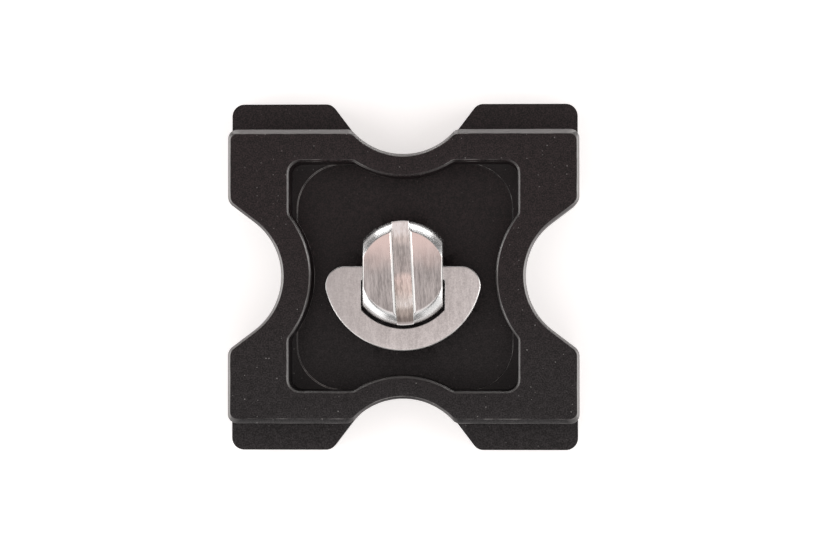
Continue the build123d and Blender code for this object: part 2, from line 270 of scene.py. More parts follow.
def on_arcs(arcs):
    """Points and outward normals along arcs that straight lines join, anticlockwise round the metal.

    An arc is centre x, centre y, radius, first and last angle of its normal. Where the normal turns anticlockwise
    a point is the centre plus radius times normal; where it turns clockwise the arc is hollow, and minus."""
    share = np.linspace(0, 1, ARC_STEPS)
    points, normals = [], []
    for x, y, radius, first, last in arcs:
        angle = first + (last - first) * share
        normal = directions(angle)
        points.append((x, y) + math.copysign(radius, last - first) * normal)
        normals.append(normal)
    return np.concatenate(points), np.concatenate(normals)


def along(points, normals, count):
    """The same path with this many points, evenly spaced along its length."""
    steps = np.linalg.norm(np.diff(points, axis=0), axis=1)
    length = np.concatenate([[0], np.cumsum(steps)])
    even = np.linspace(0, length[-1], count)
    columns = [np.interp(even, length, column) for column in (*points.T, *normals.T)]
    path = np.stack(columns, 1)
    return path[:, :2], unit(path[:, 2:])


def by_ray(arcs, angles):
    """A closed outline's points and normals where it crosses rays from the middle at these angles."""
    points, normals = on_arcs(arcs)
    points = np.vstack([points, points[:1]])
    normals = np.vstack([normals, normals[:1]])
    points, normals = along(points, normals, OUTLINE_STEPS)
    found = np.arctan2(points[:, 1], points[:, 0])
    columns = [np.interp(angles, found, column, period=2 * math.pi) for column in (*points.T, *normals.T)]
    crossing = np.stack(columns, 1)
    return crossing[:, :2], unit(crossing[:, 2:])


def turned(arc, angle):
    """An arc turned about the middle."""
    x, y, radius, first, last = arc
    c, s = math.cos(angle), math.sin(angle)
    return (x * c - y * s, x * s + y * c, radius, first + angle, last + angle)


def scalloped_side(shape, half, hollow, mouth):
    """Arcs of the +Y side at this distance from the middle: rounded mouth, hollow, rounded mouth.

    A straight lead, tangent to the hollow, runs to the mouth where the side lies far enough out. Otherwise the
    rounding of the mouth touches the hollow itself."""
    centre = PLATE_HIGH.y - shape.scallop_depth + shape.scallop_radius
    lead_sin, lead_cos = math.sin(shape.scallop_lead), math.cos(shape.scallop_lead)
    lead = (half - mouth + (mouth + hollow) * lead_sin - centre) / lead_cos
    x = (hollow + mouth) * lead_cos + lead * lead_sin
    slope = math.pi - shape.scallop_lead
    if lead < 0:
        x = math.sqrt((hollow + mouth) ** 2 - (centre - half + mouth) ** 2)
        slope = math.atan2(centre - half + mouth, -x)
    return [
        (x, half - mouth, mouth, QUARTER, slope),
        (0, centre, hollow, slope, math.pi - slope),
        (-x, half - mouth, mouth, math.pi - slope, QUARTER),
    ]


def corner_arc(half_x, half_y, radius, quarter):
    """The rounded corner that follows a side of a rectangle: quarter 0 is left of the +Y side."""
    sign_x, sign_y = ((-1, 1), (-1, -1), (1, -1), (1, 1))[quarter]
    first = QUARTER * (quarter + 1)
    return (sign_x * (half_x - radius), sign_y * (half_y - radius), radius, first, first + QUARTER)


def scalloped(shape, halves, hollows, mouths, corner):
    """Arcs of a rectangle with a hollow in each side. Pairs are for the ends, along X, and the sides, along Y."""
    arcs = []
    for quarter in range(4):
        i = 1 - quarter % 2
        arcs += [turned(arc, QUARTER * quarter) for arc in scalloped_side(shape, halves[i], hollows[i], mouths[i])]
        arcs.append(corner_arc(*halves, corner, quarter))
    return arcs


def toward(start, end, reach):
    """Points moved towards others by this much, or by a share of the way where that is less."""
    gap = np.linalg.norm(end - start, axis=-1, keepdims=True)
    return start + (end - start) * np.minimum(reach / np.maximum(gap, TINY), STRETCH_SHARE)


def strips(reach):
    """How many rows a corner of this reach gets: one without reach, or else three and the rows for its reach."""
    return 3 + 2 * int(reach / FINE_REACH) if reach else 1


def soften(corners, closed=True):
    """Rounds the corner rows of a profile and marks their edges. A corner is its points, wear and reach.

    A corner row becomes a few rows on the curve that it controls, from the point moved back along the profile by the
    reach to the point moved on: (1-t) squared times the first, 2t(1-t) times the corner and t squared times the last.
    The mark is wear where the profile turns and 0 where it runs straight. A row without reach stays as it is."""
    rows = [points for points, _, _ in corners]
    result, marks = [], []
    last = len(rows) - 1
    for i, (row, wear, reach) in enumerate(corners):
        if not reach or (not closed and i in (0, last)):
            result.append(row[None])
            marks.append(np.zeros(row[None].shape[:-1]))
            continue
        before = toward(row, rows[i - 1], reach)
        after = toward(row, rows[(i + 1) % len(rows)], reach)
        share = np.linspace(0, 1, strips(reach))[:, None, None]
        turn = np.linalg.norm(row - (before + after) / 2, axis=-1) / (SHARP_SHARE * reach)
        result.append((1 - share) ** 2 * before + 2 * share * (1 - share) * row + share ** 2 * after)
        marks.append(4 * (share * (1 - share))[..., 0] * wear * np.clip(turn, 0, 1))
    return np.concatenate(result), np.concatenate(marks)


def stretch_marks(corners, values):
    """A mark for each row of a softened profile: that of the stretch before a corner, fading into the one after it."""
    fades = [np.linspace(values[i - 1], values[i], strips(reach)) for i, (_, _, reach) in enumerate(corners)]
    return np.concatenate(fades)


def level(points, z):
    """Plan points as a row of points at one height, or at a height of their own each."""
    return np.column_stack([points, np.broadcast_to(z, len(points))])


def quads(rows, columns, closed_rows, closed_columns):
    """Corners of the quads over a grid of points, as an array of indices."""
    index = np.arange(rows * columns).reshape(rows, columns)
    if closed_rows:
        index = np.vstack([index, index[:1]])
    if closed_columns:
        index = np.hstack([index, index[:, :1]])
    corners = [index[:-1, :-1], index[:-1, 1:], index[1:, 1:], index[1:, :-1]]
    return np.stack(corners, -1).reshape(-1, 4)


def grid_mesh(name, shells):
    """A mesh of closed shells, each a grid of points with its marks and closing ways.

    Rows that meet in a point are merged there, and faces are turned outwards."""
    points = np.concatenate([grid.reshape(-1, 3) for grid, _, _ in shells])
    faces, start = [], 0
    for grid, _, closing in shells:
        faces.append(quads(*grid.shape[:2], *closing) + start)
        start += grid.shape[0] * grid.shape[1]
    mesh = bpy.data.meshes.new(name)
    mesh.from_pydata(points.tolist(), [], np.concatenate(faces).tolist())
    for key in shells[0][1]:
        values = np.concatenate([marks[key].ravel() for _, marks, _ in shells])
        mesh.attributes.new(key, "FLOAT", "POINT").data.foreach_set("value", values.astype(np.float32))
    shape = bmesh.new()
    shape.from_mesh(mesh)
    bmesh.ops.remove_doubles(shape, verts=shape.verts, dist=MERGE_DISTANCE)
    bmesh.ops.dissolve_degenerate(shape, edges=shape.edges, dist=MERGE_DISTANCE)
    bmesh.ops.recalc_face_normals(shape, faces=shape.faces)
    shape.to_mesh(mesh)
    shape.free()
    mesh.polygons.foreach_set("use_smooth", np.ones(len(mesh.polygons), bool))
    mesh.update()
    return mesh


def place(name, shells, material, body, node):
    """Puts a piece made of these shells into the scene, riding on its body in place of its CAD node."""
    mesh = grid_mesh(name, shells)
    piece = bpy.data.objects.new(name, mesh)
    bpy.context.scene.collection.objects.link(piece)
    mesh.materials.append(material)
    weighted = piece.modifiers.new("Flat faces", "WEIGHTED_NORMAL")
    weighted.weight = 80
    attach(piece, body)
    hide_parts(node)


def within(points, half):
    """Points drawn in along their rays until they lie within this distance of the X axis."""
    return points * np.minimum(1, half / np.maximum(np.abs(points[:, 1:]), TINY))


def painted_bevel_highlight(normals):
    """Painted highlight on a bevel, set by the way it faces: most on the ends, less along the back land and least along
    the front one.
    """
    plain, to_ends, to_back = 0.31, 0.69, 0.29
    return np.clip(plain + to_ends * np.abs(normals[:, 0]) + to_back * normals[:, 1], 0, 1)


def plate_grid(shape):
    """The milled plate as one ring-shaped surface: a closed profile carried round the middle on rays.

    On each ray the profile runs out of the screw hole over the milled floor, up the pocket's wall, over the rail
    face, down the land, in along the flank to the neck, out along the ledge, down the flange's side and back under
    the camera face. A land ends where the 45 degree flank meets it, at the neck's height plus how far it stands out."""
    angles = np.linspace(-math.pi, math.pi, PLATE_COLUMNS, endpoint=False)
    rays = directions(angles)
    half = PLATE_HIGH.x
    half_rail = shape.rail_width / 2
    half_neck = half_rail - shape.flank_depth
    pocket_x, pocket_y = half - shape.end_band, half_neck - shape.neck_wall
    recess_half = PAD_HIGH.x + shape.pad_gap
    recess_hollow = shape.scallop_radius + half - recess_half
    recess_corner = shape.pad_corner + shape.pad_gap
    hollows = (shape.scallop_radius,) * 2
    walls = (shape.scallop_radius + shape.end_wall, shape.scallop_radius + shape.side_wall)

    flange_arcs = scalloped(shape, (half,) * 2, hollows, (shape.scallop_corner,) * 2, shape.corner)
    flange, flange_out = by_ray(flange_arcs, angles)
    rail_arcs = scalloped(
        shape, (half, half_rail), hollows, (shape.scallop_corner, shape.rail_corner), shape.rail_corner)
    rail, rail_out = by_ray(rail_arcs, angles)
    face_arcs = scalloped(
        shape, (half - shape.end_bevel, half_rail - shape.land_bevel), (shape.scallop_radius + shape.end_bevel,) * 2,
        (shape.scallop_corner - shape.end_bevel, shape.rail_corner), shape.rail_corner - shape.end_bevel)
    face, _ = by_ray(face_arcs, angles)
    pocket_arcs = scalloped(
        shape, (pocket_x, pocket_y), walls, (shape.pocket_shoulder,) * 2, shape.pocket_corner)
    pocket, pocket_out = by_ray(pocket_arcs, angles)
    step_arcs = [corner_arc(pocket_x - shape.step_margin, pocket_y, shape.step_corner, i) for i in range(4)]
    step, _ = by_ray(step_arcs, angles)
    recess_arcs = scalloped(
        shape, (recess_half,) * 2, (recess_hollow,) * 2, (recess_corner,) * 2, recess_corner)
    recess, _ = by_ray(recess_arcs, angles)
    hole = shape.hole_radius * rays

    face_z = PLATE_HIGH.z
    camera_z = PLATE_LOW.z
    flank_z = face_z - shape.land_height - shape.flank_depth
    ledge_z = flank_z - shape.neck_height
    milled_z = camera_z + shape.floor - shape.step_height
    stands_out = np.abs(rail[:, 1]) - half_neck
    land_foot = flank_z + np.clip(stands_out, 0, shape.flank_depth)
    overhang = np.clip(stands_out / WEAR_REACH, 0, 1)
    ledge = np.clip(np.linalg.norm(flange - within(rail, half_neck), axis=1) / WEAR_REACH, 0, 1)
    bevel = np.maximum(shape.end_bevel, shape.land_bevel - half_rail + np.abs(rail[:, 1]))
    wall_reach = np.linalg.norm(pocket, axis=1)
    step_reach = np.linalg.norm(step, axis=1)
    step_foot = np.minimum(step_reach, wall_reach)
    step_top = np.minimum(step_reach + shape.step_height, wall_reach)
    floor_z = milled_z + step_top - step_foot

    # Painted highlights: the floor's step is brightest on the left, and the pocket's bevel on its two bulges along X
    left_step_highlight = np.clip(-1.5 * rays[:, 0], 0, 1)
    bulge = np.clip((pocket_x - np.abs(pocket[:, 0])) / BULGE_REACH, 0, 1) * pocket_out[:, 0] ** 2
    pocket_bevel_highlight = (0.65 + 0.7 * bulge) * painted_bevel_highlight(-pocket_out)

    # Each corner: its plan and height, how worn it is, with a painted highlight on the floor's step at the left, the
    # painted highlight of the bevel after it, and whether the stretch after it is unmilled floor, which takes painted
    # shade
    rows = [
        (hole, milled_z, 0.3, 0, 0),
        (rays * step_foot[:, None], milled_z, 1.9 * left_step_highlight, 0, 0),
        (rays * step_top[:, None], floor_z, 1.5 + 0.5 * left_step_highlight, 0, 1),
        (pocket, floor_z, 0, 0, 0),
        (pocket, face_z - shape.pocket_bevel, 1.08, pocket_bevel_highlight, 0),
        (pocket + shape.pocket_bevel * pocket_out, face_z, 0.7, 0, 0),
        (face, face_z, 1.0 + 0.4 * np.clip(-rail_out[:, 1], 0, 1) ** 2, painted_bevel_highlight(rail_out), 0),
        (rail, face_z - bevel, 1.12, 0, 0),
        (rail, land_foot, 0.8 * overhang, 0, 0),
        (within(rail, half_neck), flank_z, 0, 0, 0),
        (within(rail, half_neck), ledge_z, 0, 0, 0),
        (flange, ledge_z, 0.8 * ledge, 0, 0),
        (flange, camera_z + shape.camera_bevel, 0.7, painted_bevel_highlight(flange_out), 0),
        (flange - shape.camera_bevel * flange_out, camera_z, 0.7, 0, 0),
        (recess, camera_z, 0.5, 0, 0),
        (recess, PAD_HIGH.z, 0, 0, 0),
        (hole, PAD_HIGH.z, 0.3, 0, 0),
    ]
    corners = [(level(points, z), wear_and_glint, shape.edge) for points, z, wear_and_glint, _, _ in rows]
    grid, edge = soften(corners)
    # Painted bevel highlights, carried in the bevel mark
    bevel_highlights = stretch_marks(corners, [np.broadcast_to(row[3], len(angles)) for row in rows])
    unmilled_shade = stretch_marks(corners, [np.broadcast_to(row[4], len(angles)) for row in rows])
    return grid, {"edge": edge, "bevel": bevel_highlights, "unmilled_shade": unmilled_shade}


def pad_grid(shape):
    """The rubber sheet: a rectangle's profile carried round the middle, from its hole to its scalloped outline."""
    angles = np.linspace(-math.pi, math.pi, PLATE_COLUMNS // 2, endpoint=False)
    hole = shape.pad_hole * directions(angles)
    hollow = shape.scallop_radius + PLATE_HIGH.x - PAD_HIGH.x
    arcs = scalloped(shape, (PAD_HIGH.x,) * 2, (hollow,) * 2, (shape.pad_corner,) * 2, shape.pad_corner)
    outline, _ = by_ray(arcs, angles)
    corners = [(hole, PAD_LOW.z), (outline, PAD_LOW.z), (outline, PAD_HIGH.z), (hole, PAD_HIGH.z)]
    return soften([(level(points, z), 1, 2 * shape.edge) for points, z in corners])


def washer_grid(shape):
    """The washer: a rectangle's profile turned about the screw's axis."""
    angles = np.linspace(0, 2 * math.pi, ROUND_COLUMNS, endpoint=False)
    rays = directions(angles)
    centre = ((WASHER_LOW + WASHER_HIGH) / 2).xy
    outer = (WASHER_HIGH.x - WASHER_LOW.x) / 2
    inner = shape.washer_bore
    corners = [(inner, WASHER_LOW.z), (outer, WASHER_LOW.z), (outer, WASHER_HIGH.z), (inner, WASHER_HIGH.z)]
    return soften([(level(np.array(centre) + radius * rays, z), 1, shape.edge) for radius, z in corners])


def head_section(shape, flat):
    """Offsets, depths and edge marks across the slotted head, from one flat to the other, with corners softened."""
    half_slot = shape.slot_width / 2
    half = [
        (flat, shape.flat_drop),
        (flat - shape.flat_bevel, 0),
        (half_slot + shape.slot_bevel, 0),
        (half_slot, shape.slot_drop),
        (half_slot, shape.slot_depth),
    ]
    corners = np.array([(-x, z) for x, z in half] + half[::-1])
    section, marks = soften([(corner[None], 1, shape.edge) for corner in corners], closed=False)
    section = section[:, 0]
    length = np.concatenate([[0], np.cumsum(np.linalg.norm(np.diff(section, axis=0), axis=1))])
    fine = np.union1d(length, np.linspace(0, length[-1], HEAD_COLUMNS))
    return [np.interp(fine, length, column) for column in (*section.T, marks[:, 0])]


def head_grid(shape):
    """The slotted head: closed sections that lie side by side from flat to flat.

    A section at an offset from the middle line crosses the turned head on a chord. Its corners lie where the chord
    meets a circle, at half chord = square root of radius squared less offset squared: under the head, up the round
    wall, along the 45 degree rim, which is a little crowned, and over the top, which lies as deep as the slot does
    there. Sections turn from the slot's direction to that of the flats. Each flat goes on into the blind hole that
    takes a lug."""
    radius = (SCREW_HIGH.y - SCREW_LOW.y) / 2
    flat = (SCREW_HIGH.x - SCREW_LOW.x) / 2
    top = SCREW_HIGH.z
    offset, depth, mark = head_section(shape, flat)
    slot_edge = shape.slot_width / 2 + shape.slot_bevel
    turn = shape.slot_turn * np.clip((flat - np.abs(offset)) / (flat - slot_edge), 0, 1)
    across = directions(turn)
    chordwise = across[:, ::-1] * (-1, 1)

    def row(circle, drop, side):
        """One corner of every section, where it crosses a circle, this far below the head's top."""
        half_chord = np.sqrt(np.maximum(circle ** 2 - offset ** 2, 0))
        plan = np.array(SCREW_MIDDLE) + offset[:, None] * across + side * half_chord[:, None] * chordwise
        return level(plan, top - drop)

    def side_rows(side, rounding):
        """Corners of one half of every section, from the underside up to the top, with a crowned rim."""
        rim_start = radius - shape.rim
        crown = [(k, shape.rim_crown * 4 * k * (1 - k)) for k in (0.15, 0.3, 0.45)]
        cone = [(rim_start + shape.rim * (1 - k) + depth * k, rise) for k, rise in crown]
        return [
            (row(radius - shape.edge_bevel, shape.head_height, side), 0.6, shape.edge),
            (row(radius, shape.head_height - shape.edge_bevel, side), 0.6, shape.edge),
            (row(radius, shape.rim, side), 0.8, shape.edge),
            *[(row(circle + rise, circle - rim_start - rise, side), 0, 0) for circle, rise in cone],
            (row(rim_start + depth, depth, side), 1.0, rounding),
        ]

    corners = side_rows(1, shape.rim_round) + side_rows(-1, shape.rim_rub)[::-1]
    grid, marks = soften(corners)
    turned_after = np.ones(len(corners))
    turned_after[len(corners) // 2 - 1] = 0
    lathe = np.repeat(stretch_marks(corners, turned_after)[:, None], len(offset), 1)
    on_top = grid[..., 2] > top - shape.slot_depth - shape.edge
    marks = np.maximum(marks, mark[None] * on_top * (lathe < 0.5))

    hole_middle = np.array([SCREW_MIDDLE.x, PIVOT[1], PIVOT[2]])
    caps = {}
    for side, column in ((-1, 0), (1, -1)):
        spoke = grid[:, column] - hole_middle
        spoke[:, 0] = 0
        mouth = hole_middle + shape.lug_hole * unit(spoke)
        mouth[:, 0] = SCREW_MIDDLE.x + side * flat
        end = mouth - (side * shape.lug_hole_depth, 0, 0)
        pole = np.broadcast_to(end.mean(0), end.shape)
        caps[side] = [mouth, end, pole]
    columns = [*caps[-1][::-1], *grid.transpose(1, 0, 2), *caps[1]]
    grid = np.stack(columns, 1)
    plain = np.zeros((len(grid), 3))
    return grid, np.hstack([plain, marks, plain]), np.hstack([plain + 1, lathe, plain + 1])


def stud_grid(shape):
    """The threaded stud and its neck, a surface of height and angle about the screw's axis.

    The radius is the stud's less the thread's depth times a flattened triangle wave of height over pitch less
    angle over a full turn, and nowhere more than the cone of the tip, the cone down to the neck or the neck."""
    centre = np.array(SCREW_MIDDLE)
    head_z = SCREW_HIGH.z - shape.head_height
    neck_z = head_z - shape.neck_top_gap
    relief = shape.stud_radius - shape.neck_radius
    heights = np.concatenate([
        np.arange(SCREW_LOW.z, neck_z - relief, shape.pitch / THREAD_ROWS),
        [neck_z - relief, neck_z, head_z + shape.edge_bevel],
    ])
    angles = np.linspace(0, 2 * math.pi, ROUND_COLUMNS, endpoint=False)
    phase = (heights[:, None] / shape.pitch - angles[None] / (2 * math.pi)) % 1
    flat, rise = 0.15, 0.7
    wave = np.clip((np.abs(phase * 2 - 1) - flat) / rise, 0, 1)
    radius = shape.stud_radius - shape.thread_depth * wave
    tip = shape.stud_radius - shape.tip_bevel + heights - SCREW_LOW.z
    neck = np.maximum(shape.neck_radius + neck_z - heights, shape.neck_radius)
    radius = np.minimum(radius, np.minimum(tip, neck)[:, None])
    radius[-2:] = shape.neck_radius
    rays = directions(angles)
    plan = centre + radius[..., None] * rays
    z = np.broadcast_to(heights[:, None, None], (*radius.shape, 1))
    rows = np.concatenate([plan, z], 2)
    tip_pole = np.broadcast_to((*centre, heights[0]), rows[:1].shape)
    head_pole = np.broadcast_to((*centre, heights[-1]), rows[:1].shape)
    return np.concatenate([tip_pole, rows, head_pole])


def ring_paths(shape):
    """The outer and inner edges of the half-moon from the left lug to the right, point for point, with normals.

    The outer edge is the straight back, a corner, the large arc and the other corner. The inner edge is the side of a
    lug, the side of the cut-out, its arc and the other side. Both are cut where the arcs begin and end."""
    back = RING_HIGH.y - PIVOT[1]
    inner_gap = shape.ring_radius - shape.ring_corner
    corner_y = back - shape.ring_corner
    corner_x = math.sqrt(inner_gap ** 2 - (corner_y - shape.ring_shift) ** 2)
    lean = math.atan2(corner_y - shape.ring_shift, -corner_x) + 2 * math.pi
    left = [(-shape.lug_reach, back, 0, QUARTER, QUARTER), (-corner_x, corner_y, shape.ring_corner, QUARTER, lean)]
    bow = [(0, shape.ring_shift, shape.ring_radius, lean, 3 * math.pi - lean)]
    right = [
        (corner_x, corner_y, shape.ring_corner, 3 * math.pi - lean, 5 * QUARTER),
        (shape.lug_reach, back, 0, 5 * QUARTER, 5 * QUARTER),
    ]
    inset = shape.cut_half - shape.cut_corner
    drop = math.sqrt((shape.cut_radius - shape.cut_corner) ** 2 - inset ** 2)
    slope = math.atan2(drop, -inset)
    lug_y = -back - shape.cut_corner
    cut_right = [
        (shape.lug_reach, -back, 0, 3 * QUARTER, 3 * QUARTER),
        (inset, lug_y, shape.cut_corner, 3 * QUARTER, math.pi),
        (inset, -drop, shape.cut_corner, math.pi, slope),
    ]
    cut_bow = [(0, 0, shape.cut_radius, slope, math.pi - slope)]
    cut_left = [
        (-inset, -drop, shape.cut_corner, math.pi - slope, 0),
        (-inset, lug_y, shape.cut_corner, 0, -QUARTER),
        (-shape.lug_reach, -back, 0, -QUARTER, -QUARTER),
    ]
    outer = [along(*on_arcs(arcs), count) for arcs, count in zip((left, bow, right), RING_COLUMNS)]
    inner = [along(*on_arcs(arcs), count) for arcs, count in zip((cut_right, cut_bow, cut_left), RING_COLUMNS)]
    outer_path = [np.concatenate(parts) for parts in zip(*outer)]
    inner_path = [np.concatenate(parts)[::-1] for parts in zip(*inner)]
    return outer_path, inner_path


def ring_grid(shape):
    """The stamped ring: a rounded rectangle carried along the band between its inner and outer edges.

    A point of the rounding lies at the edge less rounding times one less sine along the normal, and rounding times one
    less cosine below the flat face."""
    (outer, outer_out), (inner, inner_out) = ring_paths(shape)
    half = (RING_HIGH.z - RING_LOW.z) / 2
    share = np.linspace(0, QUARTER, RING_EDGE_ROWS)

    def rounding(edge, normal, reach, upper):
        """Rows from the flat face to the wall."""
        inset = reach * (1 - np.sin(share))
        height = upper * (half - reach * (1 - np.cos(share)))
        return [level(edge - a * normal, z) for a, z in zip(inset, height)]

    rows = [
        *rounding(outer, outer_out, shape.ring_round, 1),
        *rounding(outer, outer_out, shape.ring_round, -1)[::-1],
        *rounding(inner, inner_out, shape.cut_round, -1),
        *rounding(inner, inner_out, shape.cut_round, 1)[::-1],
    ]
    grid = np.stack(rows) + np.array(PIVOT)
    ends = [np.broadcast_to(grid[:, k].mean(0), grid[:, k].shape)[:, None] for k in (0, -1)]
    marks = np.tile(np.sin(2 * np.concatenate([share, share[::-1]] * 2))[:, None], (1, grid.shape[1] + 2))
    # Painted highlight on the outer edge where it faces these ways, painted shade on the rest of it
    glint = [np.clip((outer_out @ np.array(way) - begin) / (full - begin), 0, 1) for way, begin, full in PAINTED_GLINT]
    edge_glint_and_shade = np.repeat([np.max(glint, 0), np.full(len(outer), 0.5)], len(rows) // 2, 0)
    edge_glint_and_shade = np.pad(edge_glint_and_shade, ((0, 0), (1, 1)), mode="edge")
    return np.concatenate([ends[0], grid, ends[1]], 1), {"edge": marks, "edge_glint_and_shade": edge_glint_and_shade}


def fill(tree, made, inputs):
    """Sets a node's inputs to values, or links them to sockets."""
    for key, value in inputs.items():
        if isinstance(value, bpy.types.NodeSocket):
            tree.links.new(value, made.inputs[key])
        else:
            made.inputs[key].default_value = value


def node(tree, kind, inputs=None, **settings):
    """A shader node with its settings and its inputs."""
    made = tree.nodes.new("ShaderNode" + kind)
    for key, value in settings.items():
        setattr(made, key, value)
    fill(tree, made, inputs or {})
    return made


def maths(tree, operation, *values, clamp=False):
    """The result of a sum on values or sockets."""
    made = node(tree, "Math", dict(enumerate(values)), operation=operation, use_clamp=clamp)
    return made.outputs[0]


def ramp(tree, value, low, high):
    """A value stretched so that low gives 0 and high gives 1, smoothly."""
    stretch = node(tree, "MapRange", {"Value": value, "From Min": low, "From Max": high},
                   interpolation_type="SMOOTHSTEP")
    return stretch.outputs["Result"]


def blend(tree, share, first, second, kind="MIX"):
    """A mix of two colours."""
    mix = node(tree, "Mix", {"Factor": share, COLOUR_A: first, COLOUR_B: second}, data_type="RGBA", blend_type=kind)
    return mix.outputs[COLOUR_RESULT]


def tint(colour, share=1.0):
    """A share of a colour, as a colour socket takes it."""
    return (*(share * part for part in colour), 1)


def split(tree, vector):
    """The X, Y and Z of a vector."""
    return node(tree, "SeparateXYZ", {"Vector": vector}).outputs


def noise(tree, vector, scale, detail):
    """Cloudy noise from 0 to 1."""
    return node(tree, "TexNoise", {"Vector": vector, "Scale": scale, "Detail": detail}).outputs["Fac"]


def layered_noise(tree, vector, fineness, details, coarser, share):
    """Fine noise and a share of a coarser one, whose scale is the fineness times the second number."""
    fine = noise(tree, vector, fineness, details[0])
    coarse = noise(tree, vector, maths(tree, "MULTIPLY", fineness, coarser), details[1])
    return maths(tree, "MULTIPLY_ADD", fine, 1 - share, maths(tree, "MULTIPLY", coarse, share))


def colour_ramp(tree, value, stops):
    """Colours at places along a value, joined smoothly."""
    strip = node(tree, "ValToRGB", {"Fac": value})
    points = strip.color_ramp.elements
    while len(points) < len(stops):
        points.new(1.0)
    for point, (station, colour) in zip(points, stops):
        point.position = station
        point.color = tint(colour)
    strip.color_ramp.interpolation = "EASE"
    return strip.outputs["Color"]


def new_group(name, values, outputs):
    """An empty shader group that takes a vector and these values, its given sockets and its output node."""
    group = bpy.data.node_groups.new(name, "ShaderNodeTree")
    group.interface.new_socket("Vector", in_out="INPUT", socket_type="NodeSocketVector")
    for socket_name, default in values.items():
        socket = group.interface.new_socket(socket_name, in_out="INPUT", socket_type="NodeSocketFloat")
        socket.default_value = default
    for socket_name in outputs:
        group.interface.new_socket(socket_name, in_out="OUTPUT", socket_type="NodeSocketFloat")
    given = group.nodes.new("NodeGroupInput").outputs
    return group, given, group.nodes.new("NodeGroupOutput")


def grain_group():
    """Fine grain of blasted metal, moulded rubber or tumbled sheet: two sizes of noise added."""
    group, given, result = new_group("Fine grain", {"Fineness": 7000.0}, ["Value", "Height"])
    total = layered_noise(group, given["Vector"], given["Fineness"], (2.0, 1.0), 0.23, 0.2)
    fill(group, result, {"Value": ramp(group, total, 0.34, 0.68), "Height": total})
    return group


def patchy_edges_group():
    """Patchy edges: the edge mark, broken up by noise, plus what the mark has above 1, which stays unbroken. It places
    worn edges, the plate's painted step highlight, and the ring's painted edge highlights and shade.
    """
    group, given, result = new_group("Patchy edges", {"Edge": 0.0, "Patches": 600.0, "Cover": 0.5}, ["Mask"])
    patches = noise(group, given["Vector"], given["Patches"], 4.0)
    bare_from = maths(group, "SUBTRACT", 0.85, given["Cover"])
    broken = ramp(group, patches, bare_from, maths(group, "ADD", bare_from, 0.25))
    steady = maths(group, "MAXIMUM", maths(group, "SUBTRACT", given["Edge"], 1.0), 0.0)
    patchy = maths(group, "MULTIPLY", broken, given["Edge"])
    fill(group, result, {"Mask": maths(group, "ADD", patchy, steady, clamp=True)})
    return group


def specks_group():
    """Sparse light specks: the middles of a few random cells, of random size and strength."""
    group, given, result = new_group("Dust specks", {"Spacing": 900.0, "Size": 0.1, "Share": 0.1}, ["Mask"])
    cells = node(group, "TexVoronoi", {"Vector": given["Vector"], "Scale": given["Spacing"]})
    pick, growth, strength = node(group, "SeparateColor", {"Color": cells.outputs["Color"]}).outputs
    chosen = maths(group, "LESS_THAN", pick, given["Share"])
    size = maths(group, "MULTIPLY", given["Size"], growth)
    dot = maths(group, "LESS_THAN", cells.outputs["Distance"], size)
    speck = maths(group, "MULTIPLY", dot, strength)
    fill(group, result, {"Mask": maths(group, "MULTIPLY", chosen, speck)})
    return group


def lines_group():
    """Drawn lines: two sizes of noise added, stretched along Y of the vector that is given."""
    group, given, result = new_group("Drawn lines", {"Fineness": 9000.0, "Stretch": 0.03}, ["Value", "Height"])
    scale = node(group, "CombineXYZ", {"X": 1.0, "Y": given["Stretch"], "Z": 1.0}).outputs[0]
    drawn = node(group, "VectorMath", {0: given["Vector"], 1: scale}, operation="MULTIPLY").outputs[0]
    total = layered_noise(group, drawn, given["Fineness"], (3.0, 2.0), 0.2, 0.5)
    fill(group, result, {"Value": ramp(group, total, 0.3, 0.7), "Height": total})
    return group


EFFECTS = {
    "Fine grain": grain_group,
    "Patchy edges": patchy_edges_group,
    "Dust specks": specks_group,
    "Drawn lines": lines_group,
}


def effect(tree, name, vector, **values):
    """The outputs of a shared effect put into a material. Its group is built the first time that one needs it."""
    group = bpy.data.node_groups.get(name) or EFFECTS[name]()
    return node(tree, "Group", {"Vector": vector, **values}, node_tree=group).outputs


def mesh_mark(tree, name):
    """A mark that the mesh carries."""
    return node(tree, "Attribute", attribute_name=name).outputs["Fac"]


def bump(tree, height, distance):
    """The normal of a surface that is raised by a height times a distance."""
    return node(tree, "Bump", {"Height": height, "Distance": distance, "Strength": 1.0}).outputs["Normal"]


def new_material(name):
    """A material, its nodes, its principled shader and its Object coordinates."""
    material = bpy.data.materials.new(name)
    material.use_nodes = True
    tree = material.node_tree
    return material, tree, tree.nodes["Principled BSDF"], node(tree, "TexCoord").outputs["Object"]


